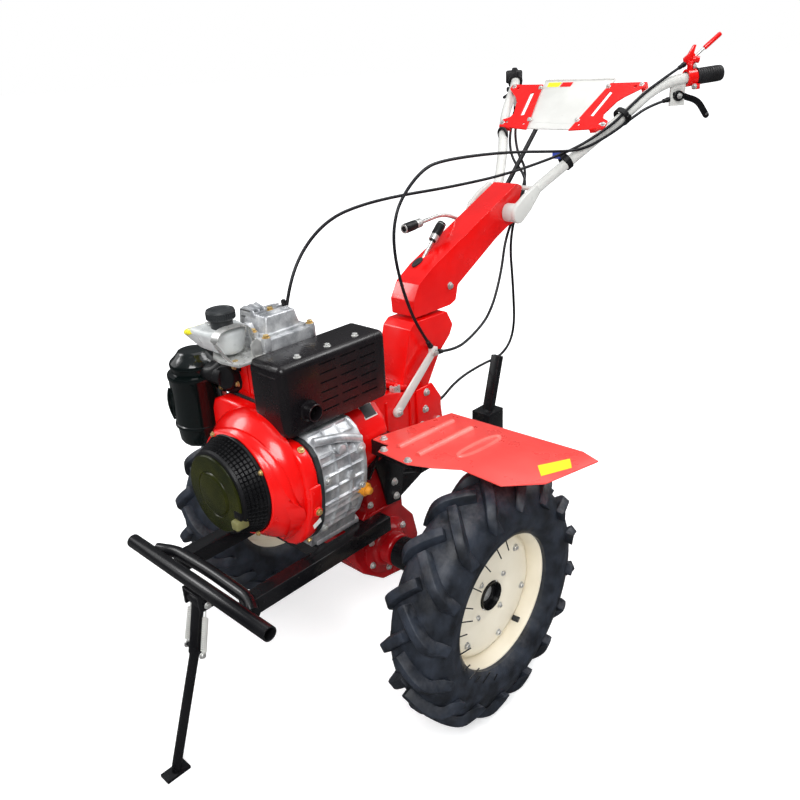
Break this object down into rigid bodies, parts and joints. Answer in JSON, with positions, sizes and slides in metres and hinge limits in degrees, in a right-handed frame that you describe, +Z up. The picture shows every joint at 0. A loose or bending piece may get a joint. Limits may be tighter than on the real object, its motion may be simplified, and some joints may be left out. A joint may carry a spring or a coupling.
{
  "type": "walk-behind power weeder",
  "caption": "Walk-behind power weeder with a front diesel engine, gear drive to two lugged wheels, fenders, a front prop stand and a swivelling, tilting handlebar.",
  "frame": {"origin": "on the floor, at the middle of the machine's outline seen from above", "axes": "+Z up, -Y to the engine and bumper at the front, +Y to the handlebar at the rear, +X to the machine's left"},
  "size_m": [0.896, 1.4296, 1.1534],
  "materials": {
    "black_paint": "glossy black paint",
    "cast_aluminium": "as-cast",
    "red_paint": "glossy red paint",
    "black_plastic": "moulded plastic",
    "olive_plastic": "moulded plastic",
    "tank_plastic": "blow-moulded tank",
    "zinc_steel": "zinc-plated",
    "black_gloss": "glossy black enamel",
    "muffler_paint": "heat-proof black paint, satin",
    "dark_red_paint": "glossy deep red paint",
    "fender_paint": "bright red paint on sheet steel",
    "cream_paint": "cream paint",
    "tyre_rubber": "black rubber",
    "cable_sheath": "sheathed control cable",
    "silver_paint": "silver-grey paint",
    "grip_rubber": "moulded rubber",
    "panel_paint": "pale grey paint"
  },
  "bodies": {
    "chassis": {"engine_frame": "black_paint", "bumper": "black_paint", "stand_bracket": "black_paint", "crankcase": "cast_aluminium", "fan_shroud": "red_paint", "recoil_starter": "black_plastic", "starter_grip": "olive_plastic", "cylinder_block": "cast_aluminium", "cylinder_head": "cast_aluminium", "fuel_tank": "tank_plastic", "fuel_cap": "black_plastic", "tank_bracket": "zinc_steel", "air_cleaner": "black_gloss", "intake_elbow": "black_plastic", "muffler": "muffler_paint", "gearbox_lower": "dark_red_paint", "gearbox_upper": "red_paint", "clutch_arm": "zinc_steel", "fender_left": "fender_paint", "fender_right": "fender_paint", "fender_brackets": "black_paint", "hitch_frame": "black_paint", "pedestal": "red_paint"},
    "wheels": {"axle_shaft": "zinc_steel", "hub_left": "black_paint", "hub_right": "black_paint", "rim_left": "cream_paint", "rim_right": "cream_paint", "tyre_left": "tyre_rubber", "tyre_right": "tyre_rubber"},
    "stand": {"stand_leg": "black_paint", "stand_springs": "zinc_steel"},
    "column": {"column_arm": "red_paint", "gear_levers": "zinc_steel", "cables_lower": "cable_sheath"},
    "handlebar": {"handle_tubes": "silver_paint", "grips": "grip_rubber", "lever_clamps": "red_paint", "hand_levers": "black_paint", "throttle_lever": "red_paint", "control_panel": "panel_paint", "panel_brackets": "red_paint", "panel_stay": "black_paint", "cable_clips": "black_plastic", "cables_upper": "cable_sheath"},
    "depth_bar": {"depth_bar": "black_paint"}
  },
  "joints": [
    {"name": "wheel_spin", "type": "hinge", "parent": "chassis", "child": "wheels", "pos_m": [0, -0.191, 0.238], "axis": [1, 0, 0], "continuous": true},
    {"name": "stand_fold", "type": "hinge", "parent": "chassis", "child": "stand", "pos_m": [0, -0.589, 0.316], "axis": [1, 0, 0], "range_deg": [0, 80], "deforming": ["stand_springs"]},
    {"name": "handlebar_swivel", "type": "hinge", "parent": "chassis", "child": "column", "pos_m": [0, -0.001, 0.667], "axis": [0, 0, 1], "range_deg": [-40, 40], "deforming": ["cables_lower"]},
    {"name": "handlebar_tilt", "type": "hinge", "parent": "column", "child": "handlebar", "pos_m": [0, 0.253, 0.826], "axis": [1, 0, 0], "range_deg": [-30, 20], "deforming": ["cables_upper"]},
    {"name": "depth_slide", "type": "slide", "parent": "chassis", "child": "depth_bar", "axis": [0, 0.2756, 0.9613], "range_m": [-0.09, 0.09]}
  ]
}
